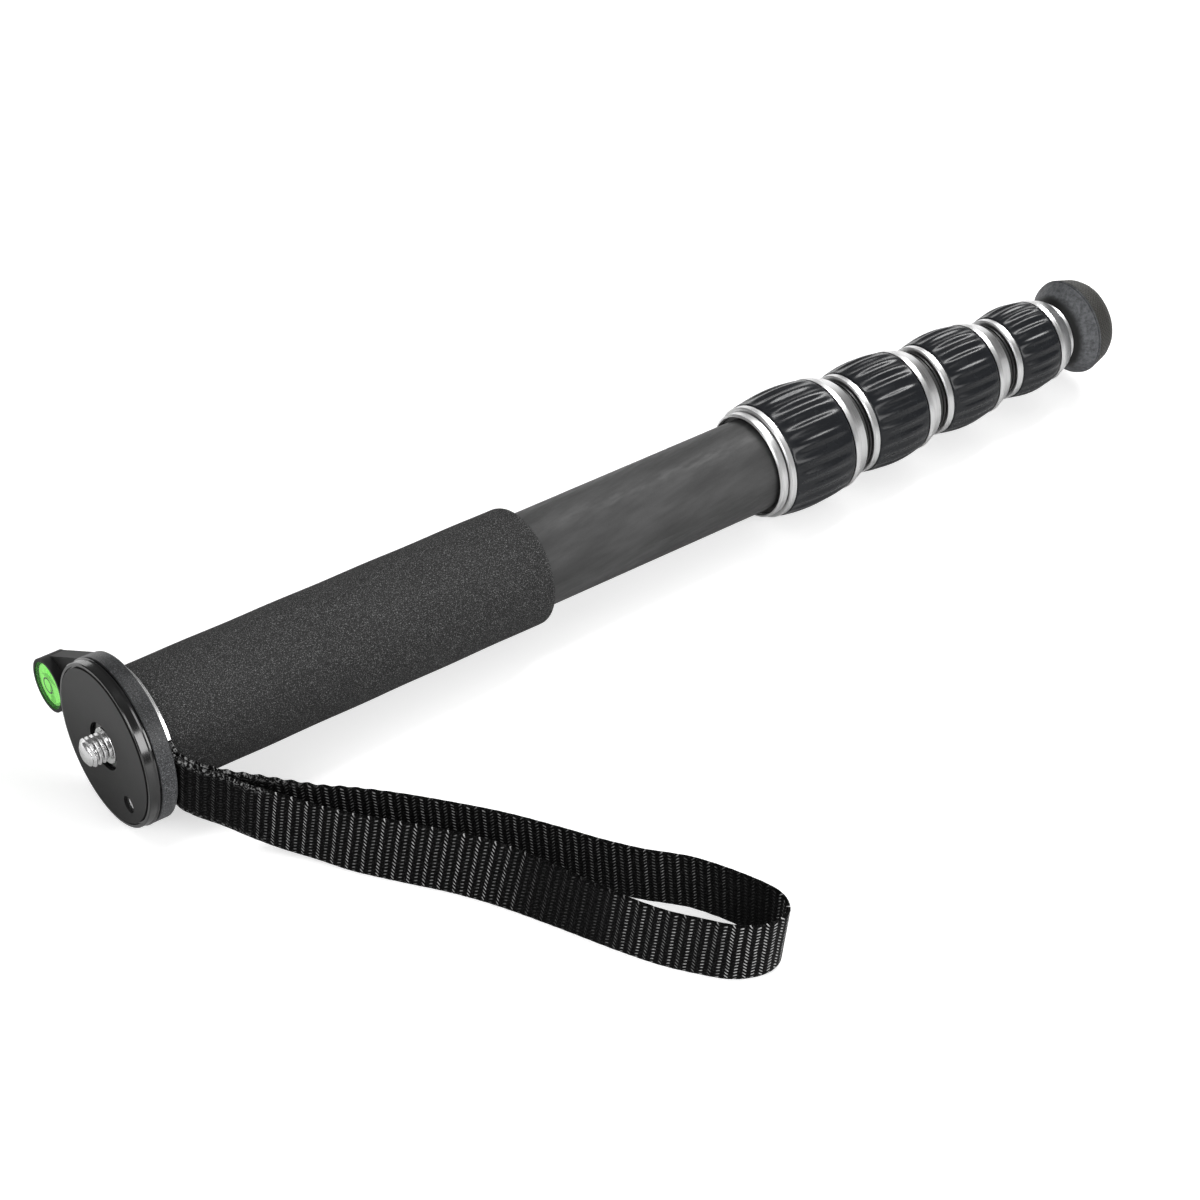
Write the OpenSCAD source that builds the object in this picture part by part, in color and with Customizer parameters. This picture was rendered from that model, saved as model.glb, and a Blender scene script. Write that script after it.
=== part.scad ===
// Camera monopod of five nested tubes with twist locks, collapsed and lying on a table.
// The tubes share the X axis. The origin is the centre of the camera plate's face,
// +X runs from there to the foot, Z is up, and all sizes are in millimetres.

/* [Tubes] */
// Outside diameter of the top tube
top_tube_d = 32; // [30:0.5:36]
// Wall of the top tube
top_tube_wall = 1.5; // [1.2:0.1:2]
// Wall of each lower tube
tube_wall = 1; // [0.8:0.1:1.2]
// Gap on the radius between a tube and the one inside it
tube_gap = 0.5; // [0.4:0.05:0.7]
// How far each nested tube's top sits below the one around it
top_step = 2; // [1:0.5:5]
// Length of the guide sleeve on top of a nested tube
guide_len = 24; // [15:1:35]
// Thickness of the lip that seats a guide on the tube's end
guide_lip = 0.8; // [0.6:0.1:1.5]
// Distance from the plate's face to the first lock
first_lock_at = 246.2; // [220:0.2:320]

/* [Camera plate] */
// Diameter of the plate at its foot
plate_d = 54; // [50:0.5:60]
// How much wider the plate is at its foot than at its shoulder, on the radius
plate_flare = 0.4; // [0.1:0.1:0.8]
// Thickness of the plate with its pad
plate_t = 4.4; // [3:0.1:5]
// Chamfer around the plate's face
plate_chamfer = 0.3; // [0.2:0.1:0.9]
// How far the plate's rim stands back from the pad's face
rim_back = 0.3; // [0:0.05:0.4]
// Width of the plate's bare rim with its chamfer
rim_w = 1.1; // [1:0.1:3]
// Thickness of the rubber pad
pad_t = 1; // [0.6:0.1:1.4]
// Groove between the pad and the plate's rim
pad_groove = 0.5; // [0.2:0.05:0.6]
// Diameter of the hole in the pad around the stud
pad_hole_d = 15.6; // [14:0.2:20]
// Width of the groove between the plate and the head base
seam_w = 0.9; // [0.2:0.1:1.2]
// Depth of the groove between the plate and the head base
seam_deep = 1; // [0.3:0.1:1.5]

/* [Camera stud] */
// Diameter of the stud, a 3/8 inch camera thread
stud_d = 9.525; // [6.35:0.005:9.525]
// How far the stud stands above the plate's face
stud_len = 7; // [5:0.1:12]
// Height of the stud's rounded tip
stud_tip = 0.8; // [0.4:0.1:1.5]
// Diameter of the stud's flange
stud_flange_d = 11.8; // [11:0.1:13.6]
// Thickness of the stud's flange
stud_flange_t = 0.5; // [0.5:0.1:1]
// Depth to which the stud's shank reaches into the plug
stud_in_plug = 9; // [6:0.5:11]

/* [Head lock screw] */
// Diameter of the grub screw that locks a head on the plate
screw_d = 5.5; // [4:0.5:6]
// Length of the grub screw
screw_len = 6; // [4:0.1:7]
// Distance of the grub screw from the axis
screw_off = 18.9; // [14:0.1:20]
// Angle of the grub screw around the axis, from the downward direction
screw_angle = -43; // [-90:1:0]
// How deep the grub screw's tip sits below the pad's face
screw_deep = 1.4; // [0.5:0.1:1.6]
// Chamfer around the grub screw's tip
screw_tip = 0.3; // [0.1:0.1:0.6]
// Size of the hexagon socket in the grub screw's hidden end, across corners
socket_d = 2.9; // [1.5:0.1:3]
// Wall of the neck ring around the hole for the grub screw's key
key_wall = 1.4; // [0.8:0.1:2]

/* [Head base and level] */
// How far the head base's side lies inside the plate's edge
base_step = 0.1; // [0:0.1:1]
// Thickness of the head base
base_t = 5.3; // [5:0.1:9]
// Chamfer on the back edge of the head base
base_chamfer = 0.4; // [0.2:0.1:1]
// Chamfer on the front edge of the head base
base_edge = 0.2; // [0.1:0.1:0.4]
// Diameter of the bubble level's vial
vial_d = 15.6; // [10:0.2:18]
// Height of the vial
vial_h = 6; // [4:0.2:7]
// Wall of the vial
vial_wall = 0.8; // [0.5:0.1:1.2]
// Gap between the ear's boss and the edge of the plate
boss_gap = 0.9; // [0.4:0.1:4]
// Angle by which the level sits below the side of the head
level_drop = 3; // [-20:1:20]
// Wall of the ear around the vial
ear_wall = 1.1; // [0.8:0.1:3]
// How far the ear's front stands back from the plate's face
ear_back = 1.4; // [0:0.1:2]
// Diameter of the level's bubble
bubble_d = 3.6; // [2:0.2:4]

/* [Neck and wrist strap] */
// Diameter of the neck ring
neck_d = 44; // [42:0.5:48]
// Length of the neck ring
neck_len = 2.7; // [2.7:0.1:4]
// Length of the plug inside the top tube
plug_len = 14; // [13:1:30]
// Thickness of the plug's rim on the end of the top tube
plug_rim = 1; // [0.6:0.1:2]
// Width of the strap's webbing
strap_w = 20; // [15:1:22]
// Thickness of the strap's webbing
strap_t = 1.3; // [1:0.05:1.3]

/* [Foam grip] */
// Wall of the foam grip
foam_wall = 4; // [2.5:0.1:5]
// Length of the foam grip
foam_len = 140.9; // [100:0.1:200]
// Rounding of the foam grip's ends
foam_round = 2; // [1:0.1:2.4]

/* [Twist locks] */
// Length of the flange of the top tube's ferrule
top_flange_len = 3; // [2:0.1:5]
// Length of the flange of a lower tube's ferrule
flange_len = 0.8; // [0.5:0.1:3]
// Height of a ferrule's flange above its tube
flange_rise = 2.3; // [1.6:0.1:3]
// Width of a ferrule's front rim, around the recess in its flange
flange_rim = 0.8; // [0.6:0.1:1.4]
// Wall of a ferrule's threaded barrel
barrel_wall = 1.2; // [0.8:0.1:1.4]
// Length of thread under a grip sleeve
thread_len = 10; // [6:0.5:12]
// Length of the collar's bare front ring
ring_len = 2.3; // [1.5:0.1:4]
// Height of the front ring above the tube
ring_rise = 3.6; // [3:0.1:4.5]
// Length of the first grip sleeve
grip_1_len = 25.8; // [18:0.1:32]
// Length of the second grip sleeve
grip_2_len = 22.4; // [18:0.1:32]
// Length of the third grip sleeve
grip_3_len = 21.3; // [18:0.1:32]
// Length of the fourth grip sleeve
grip_4_len = 18.1; // [16:0.1:32]
// Height of the collar's seat for the grip sleeve above the tube
seat_rise = 2.7; // [2.4:0.1:3]
// Height of a grip sleeve's ends above the tube
grip_end_rise = 3.9; // [3.6:0.05:4.4]
// Height of a grip sleeve's middle above the tube
grip_mid_rise = 5.15; // [4.7:0.05:6]
// Number of grooves around a grip sleeve
groove_count = 24; // [12:1:26]
// Depth of a groove at its middle, which is half its width there
groove_depth = 1.05; // [0.6:0.05:1.2]
// Length of the collar's end cap
cap_len = 6.3; // [5.8:0.1:9]
// Length of the cap's straight part
cap_straight = 1.8; // [1:0.1:3]
// Height of the cap's straight part above the tube
cap_rise = 4; // [3.4:0.1:4.6]
// Height of the cap's end above the tube
cap_end_rise = 2.2; // [1.9:0.1:3]
// Depth of the wiper seal in the cap
seal_depth = 3; // [2:0.1:3.4]
// How far a wiper seal stands out of the upper caps
seal_lip = 2.4; // [0.5:0.1:4]
// Wall of a wiper seal
seal_wall = 2.2; // [1.5:0.1:2.3]
// Number of slits in a collet
slit_count = 6; // [3:1:8]
// Width of a slit in a collet
slit_w = 1; // [0.6:0.1:1.6]

/* [Foot] */
// Diameter of the foot's metal ring
foot_ring_d = 23; // [20:0.5:26]
// Length of the foot's metal ring
foot_ring_len = 2.2; // [1:0.1:6]
// Length of the foot plug inside the last tube
foot_plug_len = 16; // [10:1:30]
// Diameter of the stud that holds the rubber foot
foot_stud_d = 8; // [5:0.5:10]
// Depth of the foot stud in the rubber foot
foot_stud_in = 8; // [5:0.5:10]
// Length of the rubber foot
foot_len = 17; // [15:0.5:24]
// Diameter of the rubber foot where it meets the ring
foot_neck_d = 22.5; // [20:0.5:28]
// Diameter of the rubber foot's rim
foot_d = 34.4; // [30:0.2:40]
// Length of the rubber foot's cone
foot_cone_len = 7; // [4:0.5:9]
// How far the sole's edge lies inside the rubber foot's rim
sole_inset = 3.2; // [2.2:0.1:6]

/* [Clearances] */
// Clearance on the radius of a sliding fit
slide_clear = 0.1; // [0.05:0.01:0.1]
// Gap between a turning collar and the ferrule or collet in it
turn_gap = 0.3; // [0.3:0.05:0.5]
// Gap between one lock and the next section when collapsed
nest_gap = 0.4; // [0.3:0.1:2]
// Clearance on the radius around a key in its hole
key_clear = 0.2; // [0.1:0.05:0.4]
// Glue line on the radius between fixed round pieces
glue_gap = 0.05; // [0.02:0.01:0.1]

/* [Hidden] */
$fn = 96;

// Facets of the long flat arcs, which need more than a full small circle
arc_fn = 720;
// Overlap of cutting tools past the faces that they cut
cut = 1;
lock_count = 4;

black = "#1b1b1d";
soft_black = "#242628";
carbon = "#38393b";
silver = "#c3c5c8";
steel = "#b9bbbd";

// Radii of tube i, from the top tube inwards
function tube_r(i) = i == 1 ? top_tube_d / 2 : bore_r(i - 1) - tube_gap;
function bore_r(i) = tube_r(i) - (i == 1 ? top_tube_wall : tube_wall);

// Stations along the axis, from the plate's face
base_back = plate_t + base_t;
neck_end = base_back + neck_len;
tube_1_top = neck_end + plug_rim;
plug_end = tube_1_top + plug_len;
function top_at(i) = i == 1 ? tube_1_top : plug_end + guide_lip + top_step * (i - 1);

// Stations of lock i: ferrule, front ring, grip sleeve, end cap and its end
function lock_flange(i) = i == 1 ? top_flange_len : flange_len;
function lock_lip(i) = i == lock_count ? 0 : seal_lip;
function lock_at(i) = i == 1 ? first_lock_at : end_at(i - 1) + lock_lip(i - 1) + nest_gap;
function ring_at(i) = lock_at(i) + lock_flange(i) + turn_gap;
function grip_at(i) = ring_at(i) + ring_len;
function grip_len(i) = [grip_1_len, grip_2_len, grip_3_len, grip_4_len][i - 1];
function cap_at(i) = grip_at(i) + grip_len(i);
function end_at(i) = cap_at(i) + cap_len;
function barrel_end(i) = grip_at(i) + thread_len;
function cavity_end(i) = cap_at(i) + cap_inside;

// Depth of the collar's cavity beyond the start of its cap
cap_inside = 1;
foot_at = end_at(lock_count) + nest_gap;
rubber_at = foot_at + foot_ring_len;

// Camera plate: its shoulder, and the pad inside the bare rim
shoulder_r = plate_d / 2 - plate_flare;
pad_r = shoulder_r - rim_w - pad_groove;
base_r = plate_d / 2 - base_step;

// Level: the ear's centre is on the +Y side, clear of the plate
vial_r = vial_d / 2;
ear_r = vial_r + ear_wall;
level_off = plate_d / 2 + boss_gap + ear_r;
// How deep the vial's face sits in the ear
vial_inset = 0.2;
vial_at = ear_back + vial_inset;

// Strap: the webbing leaves the neck on -Y. The route's points are offsets from there, each
// with the lean of the webbing: how far its top edge lies to the left of its bottom edge.
strap_exit = [base_back + neck_len / 2, -(top_tube_d / 2 + foam_wall), 0];
hinge_off = [6, -9.5, -6];
hinge_skin = 0.1;
hinge_r = strap_t + hinge_skin;
anchor_route = [
    [0, 4, 0, 0], [0, 0, 0, 0], [0.2, -2.4, -1.4, 0], [1, -4.6, -2.8, 0],
    [2.6, -6.4, -4, 0], [4.8, -8.3, -5.4, 0]
];
strap_route = [
    [5.5, -10, -6, 0], [9.5, -13.5, -8, 0.5], [15.5, -19.5, -11.3, 1], [21.5, -26, -13.5, 2],
    [28.5, -35, -15, 2], [35, -45, -15.2, 3.5], [44, -56.5, -15.2, 5], [53.5, -69, -15.1, 5.5],
    [61.8, -82.2, -15, 6], [69.5, -99.2, -15, 4], [77.2, -117.5, -14.8, 2.5], [83.5, -130, -14.7, 2],
    [90, -139.3, -14.6, 2], [95.3, -146, -14.5, 1.5], [100.5, -149.8, -14.4, 0.5],
    [106, -151.5, -14.4, -0.5], [111, -150.5, -14.3, -1.5], [113.8, -146.8, -14.2, -2],
    [114, -141, -14.2, -2], [110.6, -130, -14.2, -0.5], [105, -118.5, -14.3, 0],
    [100.5, -112.5, -14.4, 0], [94.5, -105.5, -14.5, 0], [87.5, -95, -14.7, 0], [81.5, -84.5, -14.9, 0],
    [72.5, -70, -15.1, 0], [63.5, -58, -15.2, 0], [52, -44, -15.3, 0], [41.5, -33.5, -15, 0],
    [34.5, -28, -14.5, 0], [26, -21.3, -12.7, 0], [19, -15.8, -11, 0], [12.5, -12, -8.8, 0],
    [6.5, -9, -6, 0]
];
route_steps = 2;

// Turns a piece that is built along Z so that it lies along X, with its own Y kept
module along_x() {
    rotate([0, 90, 0]) children();
}

// Ring or disc between two stations
module ring(r_out, r_in, from, to) {
    translate([0, 0, from]) difference() {
        cylinder(r = r_out, h = to - from);
        if (r_in > 0)
            translate([0, 0, -cut]) cylinder(r = r_in, h = to - from + 2 * cut);
    }
}

// Body of revolution from a list of [radius, station]
module turned(outline) {
    rotate_extrude() polygon(outline);
}

// Points of a smooth curve through the route, with a few steps between its points
function smooth(a, b, c, d, t) =
    0.5 * (2 * b + (c - a) * t + (2 * a - 5 * b + 4 * c - d) * t * t + (3 * b - a - 3 * c + d) * t * t * t);
function fine(route) = let (n = len(route)) concat(
    [for (i = [0 : n - 2], k = [0 : route_steps - 1])
        smooth(route[max(i - 1, 0)], route[i], route[i + 1], route[min(i + 2, n - 1)], k / route_steps)],
    [route[n - 1]]
);

// Four corners of the webbing's section at point i of a fine route
function plan(p) = [p[0], p[1], 0];
function left_of(route, i) = let (
    run = plan(route[min(i + 1, len(route) - 1)]) - plan(route[max(i - 1, 0)]),
    size = norm(run)
) [-run[1] / size, run[0] / size, 0];
function section(route, i, thick) = let (
    p = route[i],
    side = left_of(route, i),
    half_lean = side * p[3] / 2,
    half_up = [0, 0, sqrt(strap_w * strap_w - p[3] * p[3]) / 2],
    middle = [p[0], p[1], p[2]]
) [
    middle - half_up - half_lean - side * thick / 2,
    middle - half_up - half_lean + side * thick / 2,
    middle + half_up + half_lean + side * thick / 2,
    middle + half_up + half_lean - side * thick / 2
];

// Flat webbing swept along a route
module webbing(route, thick) {
    path = fine(route);
    n = len(path);
    sides = 4;
    points = [for (i = [0 : n - 1]) each section(path, i, thick)];
    walls = [for (i = [0 : n - 2], k = [0 : sides - 1])
        let (a = i * sides + k, b = i * sides + (k + 1) % sides)
        each [[a, a + sides, b + sides], [a, b + sides, b]]];
    last = (n - 1) * sides;
    ends = [[0, 1, 2], [0, 2, 3], [last, last + 2, last + 1], [last, last + 3, last + 2]];
    translate(strap_exit) polyhedron(points = points, faces = concat(walls, ends));
}

// Turned disc with a chamfered face, a wider foot and a groove at the seam behind it
module mounting_plate() {
    edge = 0.2;
    foot_r = plate_d / 2;
    foot_end = plate_t - seam_w;
    color(black) along_x() difference() {
        turned([
            [0, rim_back], [shoulder_r - plate_chamfer, rim_back], [shoulder_r, rim_back + plate_chamfer],
            [shoulder_r, foot_end - edge - plate_flare], [foot_r, foot_end - edge], [foot_r, foot_end],
            [foot_r - seam_deep, foot_end], [foot_r - seam_deep, plate_t], [0, plate_t]
        ]);
        ring(pad_r + pad_groove, 0, -cut, pad_t);
        ring(stud_d / 2 + glue_gap, 0, -cut, plate_t + cut);
        at_screw() ring(screw_d / 2 + slide_clear, 0, -cut, plate_t + cut);
    }
}

module plate_pad() {
    color(soft_black) along_x() difference() {
        ring(pad_r, pad_hole_d / 2, 0, pad_t);
        at_screw() ring(screw_d / 2 + slide_clear, 0, -cut, pad_t + cut);
    }
}

// Places a piece on the grub screw's axis, which lies below the stud on the -Y side
module at_screw() {
    rotate([0, 0, screw_angle]) translate([screw_off, 0, 0]) children();
}

module camera_stud() {
    stud_r = stud_d / 2;
    flange_r = stud_flange_d / 2;
    shank_end = neck_end + stud_in_plug;
    tip_r = stud_r - 1.5 * stud_tip;
    color(steel) along_x() turned([
        [0, -stud_len], [tip_r, -stud_len], [stud_r, stud_tip - stud_len],
        [stud_r, pad_t - stud_flange_t], [flange_r, pad_t - stud_flange_t], [flange_r, pad_t],
        [stud_r, pad_t], [stud_r, shank_end], [0, shank_end]
    ]);
}

// Grub screw with a plain tip, which a key turns from behind
module head_lock_screw() {
    screw_r = screw_d / 2;
    socket_at = screw_len / 2;
    color(steel) along_x() at_screw() translate([0, 0, screw_deep]) difference() {
        turned([
            [0, 0], [screw_r - screw_tip, 0], [screw_r, screw_tip], [screw_r, screw_len], [0, screw_len]
        ]);
        translate([0, 0, socket_at]) cylinder(d = socket_d, h = screw_len, $fn = 6);
    }
}

// Places a piece on the level's axis
module at_level() {
    rotate([0, 0, -level_drop]) translate([0, level_off, 0]) children();
}

// Web from the disc to the ear's boss, a little inside the lines that touch both circles
module ear_web() {
    inset = 0.3;
    disc_in = base_r - base_chamfer - inset;
    boss_in = ear_r - inset;
    spread = acos((disc_in - boss_in) / level_off);
    near = disc_in * [sin(spread), cos(spread)];
    far = [boss_in * sin(spread), level_off + boss_in * cos(spread)];
    polygon([near, far, [-far[0], far[1]], [-near[0], near[1]]]);
}

module head_base() {
    boss_step = 0.3;
    color(soft_black) along_x() difference() {
        union() {
            turned([
                [0, plate_t], [base_r - base_edge, plate_t], [base_r, plate_t + base_edge],
                [base_r, base_back - base_chamfer], [base_r - base_chamfer, base_back], [0, base_back]
            ]);
            translate([0, 0, plate_t]) linear_extrude(base_t) rotate(-level_drop) ear_web();
            at_level() ring(ear_r, 0, ear_back, base_back - boss_step);
        }
        ring(stud_d / 2 + glue_gap, 0, -cut, base_back + cut);
        at_level() ring(vial_r + glue_gap, 0, -cut, vial_at + vial_h);
        at_screw() ring(screw_d / 2 + slide_clear, 0, -cut, base_back + cut);
    }
}

module level_vial() {
    color("#9fd8a0", 0.5) along_x() at_level() translate([0, 0, vial_at]) difference() {
        cylinder(r = vial_r, h = vial_h);
        translate([0, 0, vial_wall]) cylinder(r = vial_r - vial_wall, h = vial_h - 2 * vial_wall);
    }
}

// The liquid fills the vial apart from the bubble, which has risen to the upper side
module level_fluid() {
    fluid_r = vial_r - vial_wall;
    rise = fluid_r - bubble_d / 2 - glue_gap;
    color("#5fe04e") along_x() at_level() translate([0, 0, vial_at + vial_wall]) difference() {
        cylinder(r = fluid_r, h = vial_h - 2 * vial_wall);
        translate([-rise, 0, 0]) sphere(d = bubble_d);
    }
}

// Neck ring with a slot for the strap and a hole for the grub screw's key
module neck_ring() {
    slot = strap_w / 2 + slide_clear;
    key_r = socket_d / 2 + key_clear;
    color(silver) along_x() difference() {
        union() {
            ring(neck_d / 2, 0, base_back, neck_end);
            at_screw() ring(key_r + key_wall, 0, base_back, neck_end);
        }
        translate([0, 0, base_back - cut]) cylinder(r = slot, h = neck_len + 2 * cut);
        translate([-slot, -neck_d, base_back - cut]) cube([2 * slot, neck_d, neck_len + 2 * cut]);
        at_screw() ring(key_r, 0, base_back - cut, neck_end + cut);
    }
}

module head_plug() {
    shank_r = stud_d / 2 + glue_gap;
    color(silver) along_x() difference() {
        union() {
            ring(tube_r(1), 0, neck_end, tube_1_top);
            ring(bore_r(1) - glue_gap, 0, tube_1_top, plug_end);
        }
        ring(shank_r, 0, neck_end - cut, neck_end + stud_in_plug);
    }
}

// Sewn double end of the strap: a round tab on the stud, and the stretch out of the neck
module strap_anchor() {
    tab_t = 2 * strap_t;
    tab_at = base_back + (neck_len - tab_t) / 2;
    color(black) difference() {
        union() {
            along_x() translate([0, 0, tab_at]) {
                cylinder(d = strap_w, h = tab_t);
                translate([-strap_w / 2, strap_exit[1], 0]) cube([strap_w, -strap_exit[1], tab_t]);
            }
            webbing(anchor_route, tab_t);
        }
        along_x() ring(stud_d / 2 + glue_gap, 0, base_back - cut, neck_end + cut);
    }
}

// The loop starts and ends on the upright line where the webbing folds
module wrist_strap() {
    color(black) union() {
        webbing(strap_route, strap_t);
        translate(strap_exit + hinge_off - [0, 0, strap_w / 2]) cylinder(r = hinge_r, h = strap_w);
    }
}

module foam_grip() {
    r_in = tube_r(1) + glue_gap;
    r_out = tube_r(1) + foam_wall;
    color(soft_black) along_x() translate([0, 0, neck_end]) rotate_extrude() {
        translate([r_in, 0]) square([r_out - r_in - foam_round, foam_len]);
        translate([r_in, foam_round]) square([r_out - r_in, foam_len - 2 * foam_round]);
        for (y = [foam_round, foam_len - foam_round])
            translate([r_out - foam_round, y]) circle(r = foam_round);
    }
}

// Tube i ends at its ferrule's end, and the last one on the foot's ring
module tube(i) {
    to = i > lock_count ? foot_at : barrel_end(i);
    color(carbon) along_x() ring(tube_r(i), bore_r(i), top_at(i), to);
}

// Thin sleeve that guides the top of tube i in the tube around it
module guide(i) {
    r_out = bore_r(i - 1) - slide_clear;
    r_in = tube_r(i) + glue_gap / 2;
    top = top_at(i);
    color("#6b6d70") along_x() turned([
        [bore_r(i), top - guide_lip], [r_out, top - guide_lip], [r_out, top + guide_len],
        [r_in, top + guide_len], [r_in, top], [bore_r(i), top]
    ]);
}

// Flange with a recess around the tube, and the threaded barrel behind it
module ferrule(i) {
    r_in = tube_r(i) + glue_gap;
    r_flange = tube_r(i) + flange_rise;
    r_rim = r_flange - flange_rim;
    r_barrel = tube_r(i) + barrel_wall;
    edge = lock_flange(i) / 6;
    at = lock_at(i);
    recess_end = at + lock_flange(i) / 2;
    flange_end = at + lock_flange(i);
    color(silver) along_x() turned([
        [r_in, recess_end], [r_rim, recess_end], [r_rim, at], [r_flange - edge, at], [r_flange, at + edge],
        [r_flange, flange_end], [r_barrel, flange_end], [r_barrel, barrel_end(i)], [r_in, barrel_end(i)]
    ]);
}

// Slit sleeve that the collar presses on the next tube
module collet(i) {
    r_in = tube_r(i + 1) + slide_clear;
    r_out = tube_r(i) + barrel_wall;
    at = barrel_end(i);
    to = cavity_end(i) - turn_gap;
    nose = (to - at) / 3;
    nose_r = r_in + (r_out - r_in) / 2;
    color("#d8d8d2") along_x() difference() {
        turned([[r_in, at], [r_out, at], [r_out, to - nose], [nose_r, to], [r_in, to]]);
        for (k = [0 : slit_count - 1])
            rotate([0, 0, k * 360 / slit_count])
                translate([0, -slit_w / 2, at + nose]) cube([r_out + cut, slit_w, to - at]);
    }
}

module collar(i) {
    r = tube_r(i);
    r_bore = r + barrel_wall + turn_gap;
    r_mouth = tube_r(i + 1) + 2 * turn_gap;
    r_seal = tube_r(i + 1) + seal_wall;
    edge = ring_len / 5;
    color(silver) along_x() difference() {
        turned([
            [0, ring_at(i)], [r + ring_rise - edge, ring_at(i)], [r + ring_rise, ring_at(i) + edge],
            [r + ring_rise, grip_at(i)], [r + seat_rise, grip_at(i)], [r + seat_rise, cap_at(i)],
            [r + cap_rise, cap_at(i)], [r + cap_rise, cap_at(i) + cap_straight],
            [r + cap_end_rise, end_at(i)], [0, end_at(i)]
        ]);
        ring(r_bore, 0, ring_at(i) - cut, cavity_end(i));
        ring(r_mouth, 0, ring_at(i), end_at(i) + cut);
        ring(r_seal, 0, end_at(i) - seal_depth, end_at(i) + cut);
    }
}

// Barrel-shaped rubber sleeve: straight V cutters leave grooves that fade out at both ends
module grip_sleeve(i) {
    r_in = tube_r(i) + seat_rise + glue_gap;
    r_mid = tube_r(i) + grip_mid_rise;
    size = grip_len(i);
    crown = grip_mid_rise - grip_end_rise;
    arc_r = (size * size / 4 + crown * crown) / (2 * crown);
    cutter = 4 * groove_depth;
    color("#23272b") along_x() translate([0, 0, grip_at(i)]) difference() {
        rotate_extrude() intersection() {
            translate([r_mid - arc_r, size / 2]) circle(r = arc_r, $fn = arc_fn);
            translate([r_in, 0]) square([r_mid, size]);
        }
        for (k = [0 : groove_count - 1])
            rotate([0, 0, k * 360 / groove_count]) translate([r_mid - groove_depth, 0, -cut])
                rotate([0, 0, -45]) cube([cutter, cutter, size + 2 * cut]);
    }
}

module wiper_seal(i) {
    r_in = tube_r(i + 1) + slide_clear;
    r_out = tube_r(i + 1) + seal_wall;
    color(black) along_x() ring(r_out - glue_gap, r_in, end_at(i) - seal_depth, end_at(i) + lock_lip(i));
}

module foot_plug() {
    plug_at = foot_at - foot_plug_len;
    color(silver) along_x() difference() {
        union() {
            ring(foot_ring_d / 2, 0, foot_at, rubber_at);
            ring(bore_r(lock_count + 1) - glue_gap, 0, plug_at, foot_at);
        }
        ring(foot_stud_d / 2 + glue_gap, 0, plug_at - cut, rubber_at + cut);
    }
}

module foot_stud() {
    color(steel) along_x() ring(foot_stud_d / 2, 0, foot_at - foot_plug_len, rubber_at + foot_stud_in);
}

// Flared rubber foot: cone, groove, rim band and a sole with a wide chamfer
module rubber_foot() {
    r_rim = foot_d / 2;
    groove = 0.5;
    band_at = foot_cone_len + 2 * groove;
    sole_edge = 2;
    band_end = foot_len - sole_edge;
    band_mid = band_at + (band_end - band_at) / 2;
    color("#303133") along_x() translate([0, 0, rubber_at]) difference() {
        turned([
            [0, 0], [foot_neck_d / 2, 0], [r_rim - groove, foot_cone_len],
            [r_rim - 2 * groove, foot_cone_len + groove], [r_rim, band_at], [r_rim - groove, band_mid],
            [r_rim - 4 * groove, band_end], [r_rim - sole_inset, foot_len], [0, foot_len]
        ]);
        ring(foot_stud_d / 2 + glue_gap, 0, -cut, foot_stud_in);
    }
}

mounting_plate();
plate_pad();
camera_stud();
head_lock_screw();
head_base();
level_vial();
level_fluid();
neck_ring();
head_plug();
strap_anchor();
wrist_strap();
foam_grip();
tube(1);  // tube_1
tube(2);  // tube_2
tube(3);  // tube_3
tube(4);  // tube_4
tube(5);  // tube_5
guide(2);  // guide_2
guide(3);  // guide_3
guide(4);  // guide_4
guide(5);  // guide_5
ferrule(1);  // ferrule_1
ferrule(2);  // ferrule_2
ferrule(3);  // ferrule_3
ferrule(4);  // ferrule_4
collet(1);  // collet_1
collet(2);  // collet_2
collet(3);  // collet_3
collet(4);  // collet_4
collar(1);  // collar_1
collar(2);  // collar_2
collar(3);  // collar_3
collar(4);  // collar_4
grip_sleeve(1);  // grip_sleeve_1
grip_sleeve(2);  // grip_sleeve_2
grip_sleeve(3);  // grip_sleeve_3
grip_sleeve(4);  // grip_sleeve_4
wiper_seal(1);  // wiper_seal_1
wiper_seal(2);  // wiper_seal_2
wiper_seal(3);  // wiper_seal_3
wiper_seal(4);  // wiper_seal_4
foot_plug();
foot_stud();
rubber_foot();
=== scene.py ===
"""Looks of a collapsed camera monopod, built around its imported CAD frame. Lengths are in metres."""

import math

import bpy
import numpy as np
from mathutils import Matrix, Vector


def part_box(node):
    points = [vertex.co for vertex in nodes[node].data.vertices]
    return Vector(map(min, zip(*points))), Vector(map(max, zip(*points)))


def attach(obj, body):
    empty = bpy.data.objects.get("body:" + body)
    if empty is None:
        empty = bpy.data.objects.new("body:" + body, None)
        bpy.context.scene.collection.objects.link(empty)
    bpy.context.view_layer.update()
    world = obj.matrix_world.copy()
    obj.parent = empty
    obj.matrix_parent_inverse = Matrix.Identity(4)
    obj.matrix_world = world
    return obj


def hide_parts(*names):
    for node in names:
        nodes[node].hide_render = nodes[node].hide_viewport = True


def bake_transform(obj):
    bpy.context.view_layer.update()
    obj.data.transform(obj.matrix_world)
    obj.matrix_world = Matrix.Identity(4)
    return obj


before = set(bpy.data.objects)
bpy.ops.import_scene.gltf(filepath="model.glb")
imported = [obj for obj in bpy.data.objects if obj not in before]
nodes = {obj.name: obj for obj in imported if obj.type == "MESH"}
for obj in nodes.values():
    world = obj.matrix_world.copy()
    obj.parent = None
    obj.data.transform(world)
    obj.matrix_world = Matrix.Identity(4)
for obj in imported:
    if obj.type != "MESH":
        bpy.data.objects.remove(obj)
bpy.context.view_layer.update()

MM = 0.001
TURN = 2 * math.pi

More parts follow.
